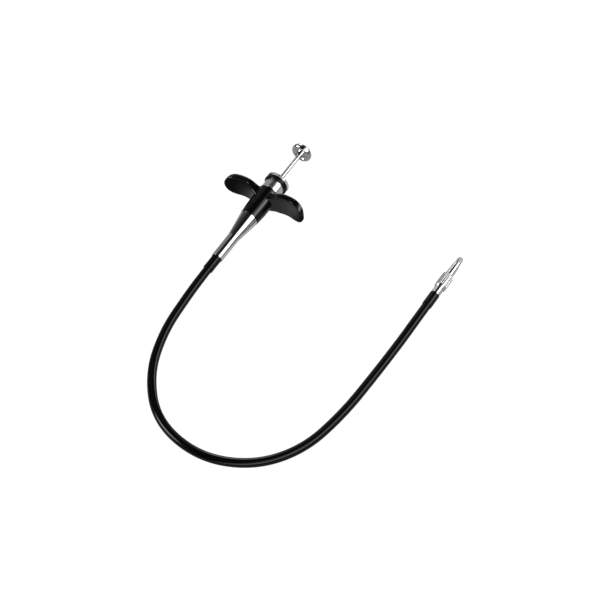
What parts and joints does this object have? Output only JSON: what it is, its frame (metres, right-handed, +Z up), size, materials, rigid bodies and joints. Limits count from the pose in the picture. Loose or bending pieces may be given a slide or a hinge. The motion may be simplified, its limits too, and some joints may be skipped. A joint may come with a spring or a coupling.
{
  "type": "cable shutter release",
  "caption": "Cable release: thumb button on a sprung rod, ball lock ring, two-wing finger grip, chrome cone sleeve and a sheathed cable with a swivelling tapered tip.",
  "frame": {"origin": "on the table under the centre of the handle (button to strain relief, cable and tip not counted)", "axes": "+Y along the handle towards the button, +X along the finger wings, +Z up from the table"},
  "size_m": [0.1162, 0.1653, 0.0136],
  "materials": {
    "chrome": "bright chrome plate",
    "brass": "turned",
    "spring_steel": "drawn wire",
    "bearing_steel": "ground",
    "black_enamel": "gloss black enamel",
    "black_plastic": "glossy moulded",
    "black_vinyl": "smooth extruded"
  },
  "bodies": {
    "root": {"neck_tube": "chrome", "lock_cone": "bearing_steel", "lock_spring": "spring_steel", "lock_spring_seat": "spring_steel", "finger_grip": "black_plastic", "spring_barrel": "brass", "return_spring": "spring_steel", "guide_bush": "brass", "cone_sleeve": "chrome", "conduit_anchor": "brass", "strain_relief": "black_vinyl", "cable_jacket": "black_vinyl", "spiral_conduit": "spring_steel", "core_wire": "spring_steel", "tip_boot": "black_vinyl", "tip_ferrule": "chrome", "tip_retaining_ring": "spring_steel"},
    "plunger": {"button_cap": "chrome", "plunger_rod": "chrome", "rod_piston": "brass", "plunger_wire": "spring_steel"},
    "lock": {"lock_disc": "chrome", "lock_skirt": "black_enamel", "lock_cage": "brass", "lock_balls": "bearing_steel"},
    "tip_swivel": {"swivel_nut": "chrome", "tip_screw": "chrome"},
    "pin": {"tip_pin": "bearing_steel"}
  },
  "joints": [
    {"name": "plunger_slide", "type": "slide", "parent": "root", "child": "plunger", "axis": [0, -0.9969, -0.0788], "range_m": [0, 0.013], "stiffness_N_per_m": 150, "springref_m": -0.004, "deforming": ["return_spring"]},
    {"name": "lock_slide", "type": "slide", "parent": "root", "child": "lock", "axis": [0, -0.9969, -0.0788], "range_m": [0, 0.0018], "stiffness_N_per_m": 600, "springref_m": -0.001, "deforming": ["lock_spring"]},
    {"name": "tip_spin", "type": "hinge", "parent": "root", "child": "tip_swivel", "pos_m": [0.0922, 0.0065, 0.0027], "axis": [0, 1, 0], "continuous": true},
    {"name": "pin_slide", "type": "slide", "parent": "root", "child": "pin", "axis": [0, 1, 0], "range_m": [0, 0.013]}
  ],
  "couplings": [
    {"joint": "pin_slide", "follows": "plunger_slide", "ratio": 1}
  ]
}
